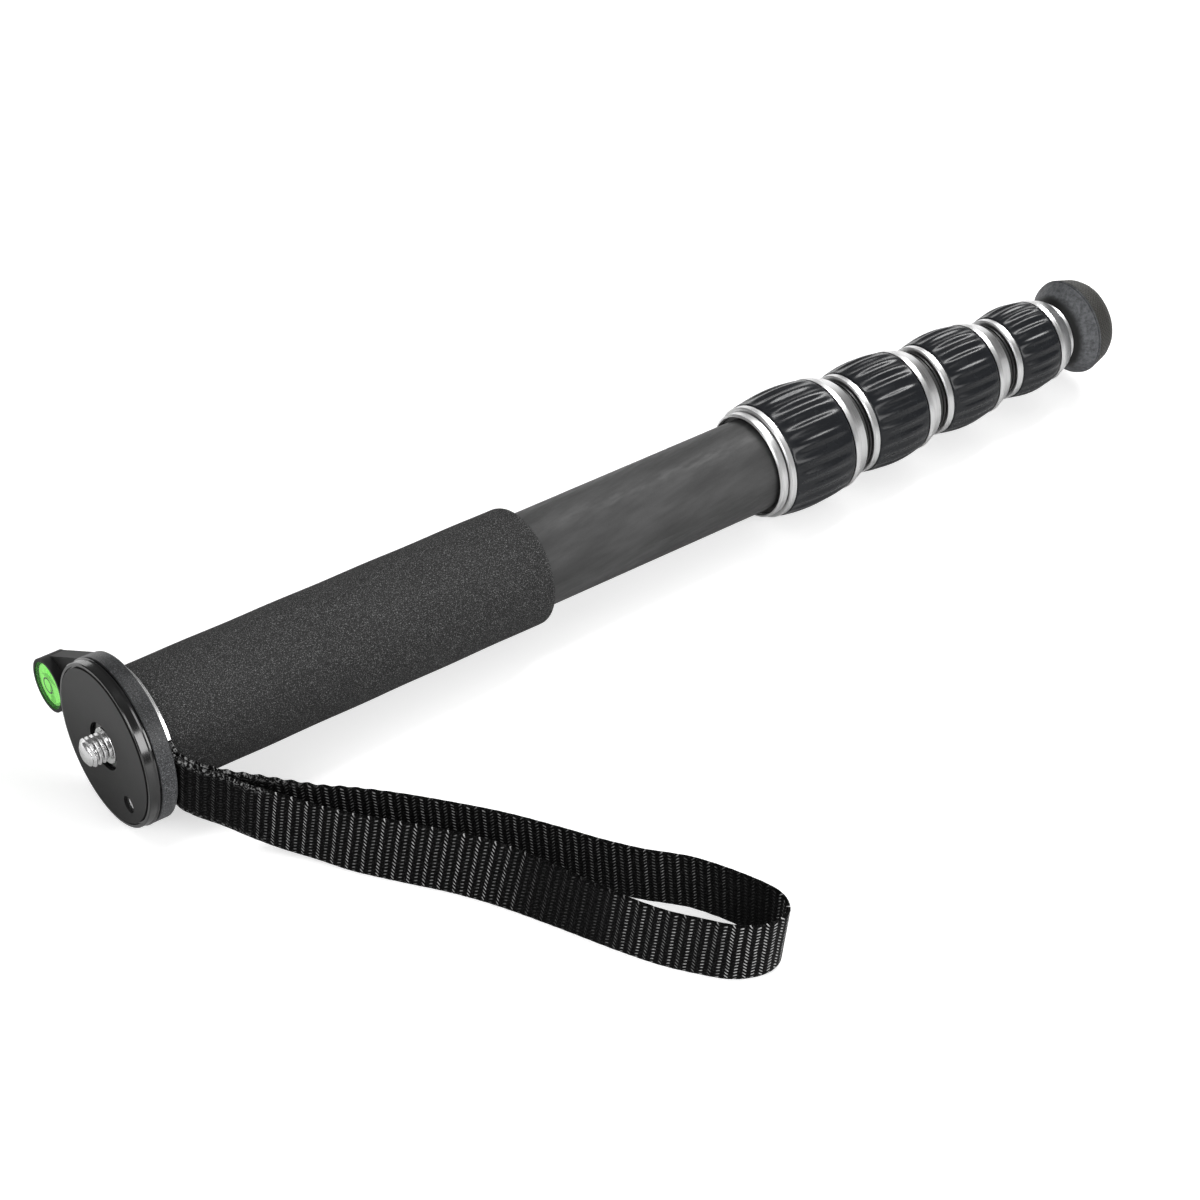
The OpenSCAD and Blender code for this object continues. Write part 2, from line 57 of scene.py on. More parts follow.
# Camera, fitted to the photograph's circles and tube axis
PHOTO_SIZE = 1200
FOCAL_PX = 3126.18
SENSOR_MM = 36.0
CAMERA_AT = Vector((-0.31389, -0.6475, 0.60807))
CAMERA_FORWARD = Vector((0.48158, 0.62467, -0.61474))
CAMERA_RIGHT = Vector((0.79957, -0.60035, 0.01631))

# Point that the lamps face, and each lamp's place, width, height and power in watts
MIDDLE = Vector((0.2, -0.02, 0.0))
LAMPS = {
    "key": ((1.27, 0.28, 1.3), 0.3, 1.0, 20.0),
    "rim": ((0.95, 1.05, 0.12), 1.6, 0.3, 2.0),
    "overhead": ((-0.5, 0.0, 1.4), 0.8, 0.8, 3.5),
    "left": ((-0.95, -0.3, 0.55), 0.6, 0.6, 4.5),
    "front": ((0.38, -1.15, 0.62), 0.8, 0.6, 10.0),
}

# Floor
FLOOR_REACH = 6.0
FLOOR_GAP = 0.1 * MM

# Twist locks
LOCKS = (1, 2, 3, 4)
GRIP_CROWN = 1.25 * MM
GRIP_MID_RISE = 5.15 * MM
GRIP_SEAT_RISE = 2.75 * MM
GRIP_EDGE = 0.7 * MM
GRIP_ROWS = 64
COLUMNS_PER_LOBE = 24

# Lobes around a grip sleeve. The valley between two of them is a share of the pitch wide and deep.
# Each sleeve's first valley lies at its own angle in degrees, as the locks happen to be turned.
LOBES = 24
VALLEY_WIDTH = 0.48
VALLEY_DEPTH = 0.14
FIRST_VALLEY = {1: 13.3, 2: 4.7, 3: 9.5, 4: 9.1}

# Width in millimetres of the ring of painted shade, in black, around a tube, on the first ferrule and on
# the others
RECESS_W = 1.4
FLANGE_W = 3.0

# Radius in millimetres beyond which the head base is its ear
EAR_FROM = 27.1

# Camera stud
STUD_R = 4.7625 * MM
THREAD_PITCH = 1.5875 * MM
THREAD_DEPTH = 0.86 * MM
TIP_HEIGHT = 1.6 * MM
TIP_FLAT_R = 0.7 * MM
UNDERCUT = 0.35 * MM
FLANGE_AT = 0.5 * MM
FLANGE_END = 1.0 * MM
FLANGE_EDGE = 0.15 * MM
STUD_ROWS = 240
STUD_COLUMNS = 96

# Foam grip
FOAM_ROUND = 2.6 * MM
FOAM_SEAT = 0.05 * MM
FOAM_WAVE = 0.06 * MM
FOAM_ROWS = 120
FOAM_COLUMNS = 128

# Ring on the bubble level
LEVEL_RING_R = 2.5 * MM
LEVEL_LINE = 0.5 * MM
LEVEL_INK = 0.03 * MM
LEVEL_SEGMENTS = 64

# Rubber foot. The rim has a diamond knurl: ridges around it, and their pitch along it in millimetres.
FOOT_RIM_AT = 393.8 * MM
FOOT_SEGMENTS = 160
KNURL_RIDGES = 70.0
KNURL_PITCH = 1.5

# Webbing of the wrist strap
STRAP_WIDTH = 20 * MM
STRAP_THICK = 1.3 * MM
STRAP_LAYER = 0.66 * MM
WEAVE_PITCH = 2.4 * MM
FLOAT_PITCH = 1.15 * MM
WEBBING_STEP = 0.4 * MM
KNOTS_FROM = 325 * MM
KNOTS_GROW = 30 * MM
STRAP_EXIT = Vector((0.01105, -0.020, 0.0))

# Zones along the webbing in millimetres. Each one fades in or out between its two values.
SEWN_START = (42.0, 28.0)
SEWN_END = (350.0, 372.0)
# Where the webbing leans, painted shade dims its floats
LEAN_SHADE_FROM = (106.0, 124.0)
LEAN_SHADE_TO = (156.0, 142.0)
# Where the painted highlight on the floats passes to the other slant, back, and over again
PAINTED_SHINE_TURNS = (120.0, 140.0)
PAINTED_SHINE_RETURNS = (198.0, 208.0)
PAINTED_SHINE_TURNS_AGAIN = (258.0, 274.0)
# Where the loop's end gets a brighter painted highlight
LOOP_END_HIGHLIGHT_FROM = (174.0, 188.0)
LOOP_END_HIGHLIGHT_TO = (208.0, 200.0)
# Inside the loop's far end painted shade falls in, then lifts part way
INSIDE_SHADE_FALLS = (206.0, 212.0)
INSIDE_SHADE_LIFTS = (214.0, 246.0)

# Offsets from the exit, and the lean of the webbing: how far its top edge lies to the left
# of its bottom edge. The sewn double end runs from the neck to the fold, and the loop from there.
SEWN_ROUTE = [
    (0.0000, 0.0040, 0.0000, 0.0), (0.0000, 0.0000, 0.0000, 0.0), (0.0002, -0.0024, -0.0014, 0.0),
    (0.0010, -0.0046, -0.0028, 0.0), (0.0026, -0.0064, -0.0040, 0.0), (0.0048, -0.0083, -0.0054, 0.0),
]
LOOP_ROUTE = [
    (0.0055, -0.0100, -0.0060, 0.0000), (0.0095, -0.0135, -0.0080, 0.0005),
    (0.0155, -0.0195, -0.0113, 0.0010), (0.0215, -0.0260, -0.0135, 0.0020),
    (0.0285, -0.0350, -0.0150, 0.0020), (0.0350, -0.0450, -0.0152, 0.0035),
    (0.0440, -0.0565, -0.0152, 0.0050), (0.0535, -0.0690, -0.0151, 0.0055),
    (0.0618, -0.0822, -0.0150, 0.0060), (0.0695, -0.0992, -0.0150, 0.0040),
    (0.0772, -0.1175, -0.0148, 0.0025), (0.0835, -0.1300, -0.0147, 0.0020),
    (0.0900, -0.1393, -0.0146, 0.0020), (0.0953, -0.1460, -0.0145, 0.0015),
    (0.1005, -0.1498, -0.0144, 0.0005), (0.1060, -0.1515, -0.0144, -0.0005),
    (0.1110, -0.1505, -0.0143, -0.0015), (0.1138, -0.1468, -0.0142, -0.0020),
    (0.1140, -0.1410, -0.0142, -0.0020), (0.1106, -0.1300, -0.0142, -0.0005),
    (0.1050, -0.1185, -0.0143, 0.0000), (0.1005, -0.1125, -0.0144, 0.0000),
    (0.0945, -0.1055, -0.0145, 0.0000), (0.0875, -0.0950, -0.0147, 0.0000),
    (0.0815, -0.0845, -0.0149, 0.0000), (0.0725, -0.0700, -0.0151, 0.0000),
    (0.0635, -0.0580, -0.0152, 0.0000), (0.0520, -0.0440, -0.0153, 0.0000),
    (0.0415, -0.0335, -0.0150, 0.0000), (0.0345, -0.0280, -0.0145, 0.0000),
    (0.0260, -0.0213, -0.0127, 0.0000), (0.0190, -0.0158, -0.0110, 0.0000),
    (0.0125, -0.0120, -0.0088, 0.0000), (0.0065, -0.0090, -0.0060, 0.0000),
]


class Look:
    """A material's node tree, with short calls for the nodes that it uses."""

    def __init__(self, name):
        self.material = bpy.data.materials.new(name)
        self.material.use_nodes = True
        self.tree = self.material.node_tree
        self.bsdf = self.tree.nodes["Principled BSDF"]
        self._xyz = None

    def feed(self, node, inputs):
        for key, value in inputs.items():
            if isinstance(value, bpy.types.NodeSocket):
                self.tree.links.new(value, node.inputs[key])
            else:
                node.inputs[key].default_value = value

    def add(self, kind, inputs, **settings):
        node = self.tree.nodes.new("ShaderNode" + kind)
        for key, value in settings.items():
            setattr(node, key, value)
        self.feed(node, inputs)
        return node

    def surface(self, **inputs):
        self.feed(self.bsdf, {key.replace("_", " "): value for key, value in inputs.items()})
        return self.material

    def math(self, operation, *values):
        return self.add("Math", dict(enumerate(values)), operation=operation).outputs[0]

    def ramp(self, value, low, high, to_low=0.0, to_high=1.0):
        inputs = {0: value, 1: low, 2: high, 3: to_low, 4: to_high}
        return self.add("MapRange", inputs, interpolation_type="SMOOTHSTEP").outputs[0]

    def mix(self, share, a, b):
        return self.add("Mix", {0: share, 6: a, 7: b}, data_type="RGBA").outputs[2]

    def vector(self, x, y, z):
        return self.add("CombineXYZ", {0: x, 1: y, 2: z}).outputs[0]

    def noise(self, vector, scale=1.0, detail=3.0, roughness=0.6):
        inputs = {"Vector": vector, "Scale": scale, "Detail": detail, "Roughness": roughness}
        return self.add("TexNoise", inputs).outputs[0]

    def bump(self, height, distance, strength=1.0):
        inputs = {"Height": height, "Distance": distance, "Strength": strength}
        return self.add("Bump", inputs).outputs[0]

    def millimetres(self):
        """Place in the row frame, in millimetres."""
        place = self.add("TexCoord", {}).outputs["Object"]
        return self.add("VectorMath", {0: place, "Scale": 1 / MM}, operation="SCALE").outputs[0]

    def round_axis(self):
        """Station along the tubes, angle around them and radius, in millimetres and radians."""
        if self._xyz is None:
            split = self.add("SeparateXYZ", {0: self.millimetres()})
            x, y, z = split.outputs
            squares = self.math("ADD", self.math("MULTIPLY", y, y), self.math("MULTIPLY", z, z))
            self._xyz = x, self.math("ARCTAN2", z, y), self.math("SQRT", squares)
        return self._xyz


def grey(value, blue=0.0):
    """Near-grey colour, a little blue where asked."""
    return (value * (1 - blue / 2), value, value * (1 + blue), 1.0)


def carbon_look():
    """Satin carbon fibre: fine fibres that run along the tube with a slight twist, in wider wound bands."""
    look = Look("carbon_fibre")
    x, angle, radius = look.round_axis()
    arc = look.math("MULTIPLY", angle, radius)
    across = look.math("MULTIPLY_ADD", x, 0.16, arc)
    along = look.math("MULTIPLY_ADD", arc, -0.16, x)
    slow = look.math("MULTIPLY", along, 0.035)
    fibres = look.noise(look.vector(slow, look.math("MULTIPLY", across, 1.6), radius), 1.0, 5.0)
    bands = look.noise(look.vector(slow, look.math("MULTIPLY", across, 0.14), radius), 1.0, 2.0)
    ridges = look.noise(look.vector(look.math("MULTIPLY", along, 0.2), across, radius), 0.8, 3.0)
    grain = look.noise(look.millimetres(), 1.6, 3.0)
    share = look.math("MULTIPLY_ADD", bands, 0.9, look.math("MULTIPLY", fibres, 0.12))
    share = look.math("MULTIPLY_ADD", grain, 0.15, share)
    colour = look.mix(look.ramp(share, 0.4, 0.8), grey(0.036), grey(0.061))
    rough = look.ramp(ridges, 0.3, 0.7, 0.52, 0.66)
    normal = look.bump(ridges, 0.05 * MM, 0.5)
    return look.surface(Base_Color=colour, Roughness=rough, Normal=normal, Specular_IOR_Level=0.4)


def foam_look():
    """Closed-cell foam: dark and matte, with fine pores and lighter specks."""
    look = Look("grip_foam")
    place = look.millimetres()
    pores = look.noise(place, 1.9, 3.0, 0.7)
    specks = look.noise(place, 3.2, 2.0, 0.6)
    cloud = look.noise(place, 0.1, 3.0, 0.5)
    dark = look.mix(cloud, grey(0.031), grey(0.041))
    colour = look.mix(look.ramp(pores, 0.35, 0.65), grey(0.022), dark)
    colour = look.mix(look.ramp(specks, 0.52, 0.72), colour, grey(0.2))
    normal = look.bump(pores, 0.12 * MM, 0.7)
    return look.surface(Base_Color=colour, Roughness=0.9, Normal=normal, Specular_IOR_Level=0.1)


def brushed_look(name, colour, rough, streak, painted_shade_within=0.0):
    """Turned aluminium: fine lines around the axis. Inside a radius in millimetres it is black, as painted
    shade in the recess around the tube.
    """
    look = Look(name)
    x, angle, radius = look.round_axis()
    across = look.math("MULTIPLY", look.math("ADD", x, radius), 6.0)
    lines = look.noise(look.vector(across, look.math("MULTIPLY", angle, 1.2), 0.0), 1.0, 3.0)
    shade = look.mix(look.ramp(lines, 0.3, 0.7), grey(colour * (1 - streak)), grey(colour))
    # Painted shade in black, not metallic, inside the radius
    beyond_painted_shade = look.ramp(radius, painted_shade_within, painted_shade_within + 0.1)
    roughness = look.ramp(lines, 0.3, 0.7, rough * 0.85, rough * 1.2)
    around = look.add("Tangent", {}, direction_type="RADIAL", axis="X").outputs[0]
    return look.surface(
        Base_Color=look.mix(beyond_painted_shade, grey(0.01), shade), Metallic=beyond_painted_shade, Roughness=roughness,
        Anisotropic=0.7, Tangent=around,
    )


def rubber_look(name, colour, blue, rough, grain, shine=0.5):
    """Moulded rubber: fine grain, faint cloudy wear."""
    look = Look(name)
    place = look.millimetres()
    fine = look.noise(place, 3.0, 3.0, 0.6)
    cloud = look.noise(place, 0.15, 3.0, 0.6)
    shade = look.mix(cloud, grey(colour * 0.8, blue), grey(colour * 1.25, blue))
    roughness = look.ramp(cloud, 0.3, 0.7, rough * 0.9, rough * 1.15)
    normal = look.bump(fine, grain, 0.6)
    return look.surface(Base_Color=shade, Roughness=roughness, Normal=normal, Specular_IOR_Level=shine)


def pad_look():
    """Rubber pad: matte, with painted shade that darkens it toward its lower edge, and painted shade in
    black on its cut sides in the groove.
    """
    look = Look("pad_rubber")
    place = look.millimetres()
    x, _, z = look.add("SeparateXYZ", {0: place}).outputs
    cloud = look.noise(place, 0.15, 3.0, 0.6)
    # Painted shade: the pad is darker toward its lower edge
    height = look.math("MULTIPLY_ADD", cloud, 6.0, z)
    shade = look.mix(look.ramp(height, -24.0, 26.0), grey(0.022), grey(0.068))
    # Painted shade in black on the pad's cut sides, deep in the groove
    colour = look.mix(look.ramp(x, 0.02, 0.08), shade, grey(0.002))
    normal = look.bump(look.noise(place, 3.0, 3.0, 0.6), 0.05 * MM, 0.6)
    return look.surface(Base_Color=colour, Roughness=0.75, Normal=normal, Specular_IOR_Level=0.4)


def cast_look():
    """Black casting: textured with small bright specks on the disc's side, with painted shade that darkens
    it toward its top, and smooth on the ear."""
    look = Look("cast_black")
    place = look.millimetres()
    radius = look.round_axis()[2]
    on_ear = look.ramp(radius, EAR_FROM, EAR_FROM + 0.3)
    lumps = look.noise(place, 2.0, 3.0, 0.6)
    specks = look.noise(place, 3.4, 2.0, 0.6)
    colour = look.mix(look.ramp(lumps, 0.35, 0.65), grey(0.02, 0.06), grey(0.078, 0.06))
    colour = look.mix(look.ramp(specks, 0.58, 0.68), colour, grey(0.3, 0.03))
    # Painted shade: the disc's side darkens toward its top
    painted_shade_height = look.add("SeparateXYZ", {0: place}).outputs[2]
    colour = look.mix(look.ramp(painted_shade_height, 2.0, 20.0, 0.0, 0.55), colour, grey(0.008))
    colour = look.mix(on_ear, colour, grey(0.01))
    height = look.math("MULTIPLY", lumps, look.math("SUBTRACT", 1.0, on_ear))
    normal = look.bump(height, 0.1 * MM, 0.5)
    rough = look.ramp(on_ear, 0.0, 1.0, 0.42, 0.6)
    return look.surface(Base_Color=colour, Roughness=rough, Normal=normal, Specular_IOR_Level=0.3)


def plate_look():
    """Black anodised plate, glossy on its turned rim."""
    look = Look("plate_black")
    x, angle, radius = look.round_axis()
    across = look.math("MULTIPLY", look.math("ADD", x, radius), 8.0)
    lines = look.noise(look.vector(across, angle, 0.0), 1.0, 2.0)
    colour = look.mix(lines, grey(0.002), grey(0.006))
    roughness = look.ramp(lines, 0.3, 0.7, 0.12, 0.2)
    return look.surface(Base_Color=colour, Roughness=roughness, Specular_IOR_Level=0.8)


def steel_look(name, colour, rough, metallic=1.0):
    """Polished steel with faint smudges."""
    look = Look(name)
    place = look.millimetres()
    smudge = look.noise(place, 0.5, 4.0, 0.6)
    shade = look.mix(smudge, grey(colour * 0.92), grey(colour))
    roughness = look.ramp(smudge, 0.3, 0.7, rough * 0.7, rough * 1.4)
    return look.surface(Base_Color=shade, Metallic=metallic, Roughness=roughness)


def fluid_look():
    """Bright green level liquid, with a painted glow: it emits light, though it is no lamp."""
    look = Look("level_green")
    cloud = look.noise(look.millimetres(), 0.25, 2.0, 0.5)
    colour = look.mix(cloud, (0.45, 0.86, 0.25, 1.0), (0.6, 0.98, 0.38, 1.0))
    # Painted glow: the liquid emits its own colour
    return look.surface(Base_Color=colour, Roughness=0.2, Emission_Color=colour, Emission_Strength=0.45)


def clear_look():
    """Vial wall: partly clear, tinted by the liquid behind it, and glossy."""
    look = Look("vial_clear")
    smudge = look.noise(look.millimetres(), 0.6, 3.0, 0.5)
    tint = look.mix(smudge, (0.10, 0.54, 0.07, 1.0), (0.16, 0.66, 0.10, 1.0))
    look.surface(Base_Color=tint, Roughness=look.ramp(smudge, 0.3, 0.7, 0.03, 0.1))
    clear = look.add("BsdfTransparent", {"Color": (0.85, 1.0, 0.85, 1.0)})
    both = look.add("MixShader", {0: 0.22, 1: clear.outputs[0], 2: look.bsdf.outputs[0]})
    look.tree.links.new(both.outputs[0], look.tree.nodes["Material Output"].inputs["Surface"])
    return look.material


def webbing_look():
    """Herringbone webbing: columns of slanting floats that lean one way and the other in turn, on a black
    ground, with a painted sheen in grey on the floats. The slant that carries the painted highlight changes
    along the strap, and the loop's end carries a brighter painted highlight. Where it leans, painted shade
    dims the floats, where it is sewn they are dimmer too, and inside the loop's far end painted shade
    darkens them.
    The map runs along the webbing and across it, in millimetres."""
    look = Look("webbing")
    uv = look.add("UVMap", {}, uv_map="weave").outputs[0]
    split = look.add("SeparateXYZ", {0: uv})
    along, across = split.outputs[0], split.outputs[1]
    wobble = look.math("MULTIPLY_ADD", look.noise(uv, 0.3, 2.0), 0.6, -0.3)
    sheared = look.math("MULTIPLY_ADD", across, -0.08, look.math("ADD", along, wobble))
    column = look.math("DIVIDE", sheared, WEAVE_PITCH / MM)
    index = look.math("FLOOR", column)
    odd = look.math("MODULO", index, 2.0)
    inside = look.math("SUBTRACT", look.math("SUBTRACT", column, index), 0.5)
    slant = look.math("MULTIPLY_ADD", odd, -2.4, 1.8)
    row = look.math("MULTIPLY_ADD", inside, slant, look.math("DIVIDE", across, FLOAT_PITCH / MM))
    row = look.math("MULTIPLY_ADD", odd, 0.5, row)
    dash = look.math("ABSOLUTE", look.math("SUBTRACT", look.math("FRACT", row), 0.5))
    in_column = look.ramp(look.math("ABSOLUTE", inside), 0.27, 0.09)
    body = look.math("MULTIPLY", look.ramp(dash, 0.25, 0.06), in_column)
    # Painted highlight: which slant of floats is lit changes along the strap, and the loop's end is lit
    # brighter
    other_slant_lit = look.math("SUBTRACT", look.ramp(along, *PAINTED_SHINE_TURNS), look.ramp(along, *PAINTED_SHINE_RETURNS))
    other_slant_lit = look.math("ADD", other_slant_lit, look.ramp(along, *PAINTED_SHINE_TURNS_AGAIN))
    painted_shine = look.math("SUBTRACT", 1.0, look.math("ABSOLUTE", look.math("SUBTRACT", odd, other_slant_lit)))
    loop_end_highlight = look.math("MULTIPLY", look.ramp(along, *LOOP_END_HIGHLIGHT_FROM), look.ramp(along, *LOOP_END_HIGHLIGHT_TO))
    painted_shine = look.math("MULTIPLY_ADD", painted_shine, 0.55, 0.45)
    painted_shine = look.math("MAXIMUM", painted_shine, look.math("MULTIPLY", loop_end_highlight, 1.8))
    # Painted shade where the webbing leans; where it is sewn the floats are dimmed too
    leaning_shade = look.math("MULTIPLY", look.ramp(along, *LEAN_SHADE_FROM), look.ramp(along, *LEAN_SHADE_TO))
    sewn = look.math("MAXIMUM", look.ramp(along, *SEWN_START), look.ramp(along, *SEWN_END))
    sheen_dimmed = look.math("MAXIMUM", leaning_shade, sewn)
    uneven = look.ramp(look.noise(uv, 0.9, 2.0), 0.3, 0.6, 0.3, 1.0)
    # Painted shade inside the loop's far end dims the floats
    painted_inside_shade = look.ramp(along, *INSIDE_SHADE_FALLS, 1.0, 0.1)
    painted_inside_shade = look.math("ADD", painted_inside_shade, look.ramp(along, *INSIDE_SHADE_LIFTS, 0.0, 0.55))
    uneven = look.math("MULTIPLY", uneven, painted_inside_shade)
    ground = look.mix(look.ramp(look.noise(uv, 2.2, 2.0), 0.5, 0.7), grey(0.001), grey(0.022))
    # Painted sheen on the floats, standing in for their highlights
    painted_sheen_and_fray = look.math("MULTIPLY", look.math("MULTIPLY", body, uneven), painted_shine)
    painted_sheen_and_fray = look.math("MULTIPLY", painted_sheen_and_fray, look.math("MULTIPLY_ADD", sheen_dimmed, -0.85, 1.0))
    # Frayed fibres at the sewn edges add lighter specks to the painted sheen
    at_edge = look.ramp(look.math("ABSOLUTE", across), 7.6, 9.6)
    frayed = look.math("MULTIPLY", at_edge, look.ramp(look.noise(uv, 1.1, 3.0), 0.5, 0.62))
    painted_sheen_and_fray = look.math("MAXIMUM", painted_sheen_and_fray, look.math("MULTIPLY", frayed, look.math("MULTIPLY", sewn, 0.5)))
    # The floats' painted sheen is grey on the black ground
    colour = look.mix(painted_sheen_and_fray, ground, grey(0.5))
    height = look.math("MULTIPLY_ADD", look.math("SINE", look.math("MULTIPLY", row, TURN)), 0.25, body)
    normal = look.bump(height, 0.25 * MM, 0.8)
    return look.surface(Base_Color=colour, Roughness=0.6, Normal=normal, Specular_IOR_Level=0.04)


def foot_look():
    """Dark rubber foot: bluish on its cone, browner on its rim, which has a fine diamond knurl. At the
    cone's neck it is black: darker rubber and painted shade next to the metal ring.
    """
    look = Look("foot_rubber")
    x, angle, radius = look.round_axis()
    place = look.millimetres()
    cloud = look.noise(place, 0.2, 3.0, 0.6)
    on_rim = look.ramp(x, FOOT_RIM_AT / MM - 0.2, FOOT_RIM_AT / MM + 0.3)
    around = look.math("MULTIPLY", angle, KNURL_RIDGES)
    along = look.math("MULTIPLY", x, TURN / KNURL_PITCH)
    one = look.math("SINE", look.math("ADD", around, along))
    two = look.math("SINE", look.math("SUBTRACT", around, along))
    knurl = look.math("MULTIPLY", look.math("MAXIMUM", one, two), on_rim)
    grain = look.math("MULTIPLY_ADD", knurl, 1.2, look.noise(place, 2.5, 3.0))
    scuffs = look.noise(place, 0.7, 5.0, 0.7)
    cone = look.mix(look.ramp(scuffs, 0.3, 0.7), grey(0.058, 0.06), grey(0.14, 0.06))
    # Black at the cone's neck: darker rubber and painted shade next to the metal ring
    cone = look.mix(look.ramp(radius, 12.2, 14.2), grey(0.008), cone)
    rim = look.mix(cloud, (0.016, 0.016, 0.015, 1.0), (0.027, 0.026, 0.024, 1.0))
    rim = look.mix(look.ramp(knurl, 0.4, 1.0, 0.0, 0.5), rim, (0.06, 0.057, 0.048, 1.0))
    colour = look.mix(on_rim, cone, rim)
    normal = look.bump(grain, 0.1 * MM, 0.7)
    return look.surface(Base_Color=colour, Roughness=0.5, Normal=normal, Specular_IOR_Level=0.25)


def smooth(mesh, angle=math.radians(40)):
    """Shades a mesh smooth, apart from its sharp edges."""
    for face in mesh.polygons:
        face.use_smooth = True
    mesh.set_sharp_from_angle(angle=angle)


def grid_piece(name, points, look, hollow=False):
    """Piece from a grid of points. Each row is a closed ring, and the last row is joined to the first
    where the piece is hollow. Otherwise both ends are capped."""
    rows, columns = points.shape[:2]
    faces = []
    for i in range(rows if hollow else rows - 1):
        here, there = i * columns, (i + 1) % rows * columns
        for k in range(columns):
            n = (k + 1) % columns
            faces.append((here + k, here + n, there + n, there + k))
    if not hollow:
        faces.append(tuple(reversed(range(columns))))
        faces.append(tuple(range((rows - 1) * columns, rows * columns)))
    mesh = bpy.data.meshes.new(name)
    mesh.from_pydata([tuple(p) for p in points.reshape(-1, 3)], [], faces)
    smooth(mesh)
    piece = bpy.data.objects.new(name, mesh)
    bpy.context.scene.collection.objects.link(piece)
    mesh.materials.append(look)
    return piece


def turned(name, stations, radii, look, segments=96, centre=(0.0, 0.0), hollow=False):
    """Piece from stations and radii around an axis along X. Radii may change with the angle, with one
    row per station."""
    angles = np.arange(segments) * TURN / segments
    stations = np.asarray(stations, float)
    radii = np.asarray(radii, float)
    if radii.ndim == 1:
        radii = np.repeat(radii[:, None], segments, 1)
    points = np.stack([
        np.repeat(stations[:, None], segments, 1),
        centre[0] + radii * np.cos(angles),
        centre[1] + radii * np.sin(angles),
    ], -1)
    return grid_piece(name, points, look, hollow)


def outer_radius(node):
    """Largest radius of a CAD node about the tubes' axis."""
    mesh = nodes[node].data
    return max(math.hypot(v.co.y, v.co.z) for v in mesh.vertices)


def lobed(off):
    """Depth from 0 on a lobe's top to 1 in the valley, by the distance from the valley in pitches.
    A round lobe and a round valley meet in one slope."""
    half = VALLEY_WIDTH / 2
    crown = 2 / (0.5 - half)
    lobe = crown * (0.5 - off) ** 2
    valley = 1 - crown * (0.5 - half) / half * off ** 2
    return np.where(off < half, valley, lobe)


def grip_sleeve(lock, look):
    """Barrel-shaped rubber sleeve with rounded lobes, whose valleys fade out toward both edges."""
    node = "grip_sleeve_%d" % lock
    low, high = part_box(node)
    tube = outer_radius("tube_%d" % lock)
    r_mid = tube + GRIP_MID_RISE
    size = high.x - low.x
    arc = (size * size / 4 + GRIP_CROWN * GRIP_CROWN) / (2 * GRIP_CROWN)
    columns = LOBES * COLUMNS_PER_LOBE
    u = np.linspace(0, 1, GRIP_ROWS)
    station = low.x + size * u
    barrel = r_mid - arc + np.sqrt(arc * arc - (station - (low.x + high.x) / 2) ** 2)
    near_edge = np.minimum(station - low.x, high.x - station)
    rounded = np.clip(1 - near_edge / GRIP_EDGE, 0, 1)
    barrel = barrel - GRIP_EDGE * (1 - np.sqrt(1 - rounded * rounded)) * 0.8
    pitch = TURN * r_mid / LOBES
    depth = VALLEY_DEPTH * pitch * (1 - np.abs(2 * u - 1) ** 2.5)
    angle = np.arange(columns) * TURN / columns - math.radians(FIRST_VALLEY[lock])
    off = np.abs((angle * LOBES / TURN + 0.5) % 1 - 0.5)
    radii = barrel[:, None] - depth[:, None] * lobed(off)[None, :]
    plain = np.full((1, columns), tube + GRIP_SEAT_RISE)
    stations = np.concatenate([[low.x], station, [high.x]])
    radii = np.concatenate([plain, radii, plain])
    piece = turned(node + "_fluted", stations, radii, look, columns, hollow=True)
    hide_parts(node)
    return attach(piece, "grip_%d" % lock)


def stud_thread(look):
    """Camera stud with its turns, undercut, rounded tip, flange and shank."""
    low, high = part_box("camera_stud")
    r_core = STUD_R - THREAD_DEPTH
    flange_r = outer_radius("camera_stud")
    angle = np.arange(STUD_COLUMNS) * TURN / STUD_COLUMNS
    station = np.linspace(low.x, FLANGE_AT, STUD_ROWS)
    phase = (station[:, None] / THREAD_PITCH - angle[None, :] / TURN) % 1
    crest = (0.5 - 0.5 * np.cos(TURN * phase)) ** 0.75
    from_tip = station - low.x
    dome = np.sqrt(1 - (1 - np.clip(from_tip / TIP_HEIGHT, 0, 1)) ** 2)
    core = TIP_FLAT_R + (r_core - TIP_FLAT_R) * dome
    grown = np.clip((from_tip - 0.5 * TIP_HEIGHT) / (0.6 * TIP_HEIGHT), 0, 1)
    grown = grown * np.clip((FLANGE_AT - station) / UNDERCUT - 1, 0, 1)
    turns = THREAD_DEPTH * crest * grown[:, None]
    stations = [FLANGE_AT, FLANGE_AT + FLANGE_EDGE, FLANGE_END, FLANGE_END, high.x]
    rest = np.array([flange_r - FLANGE_EDGE, flange_r, flange_r, r_core, r_core])
    radii = np.concatenate([core[:, None] + turns, np.repeat(rest[:, None], STUD_COLUMNS, 1)])
    stations = np.concatenate([station, stations])
    piece = turned("camera_stud_thread", stations, radii, look, STUD_COLUMNS)
    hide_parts("camera_stud")
    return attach(piece, "upper")


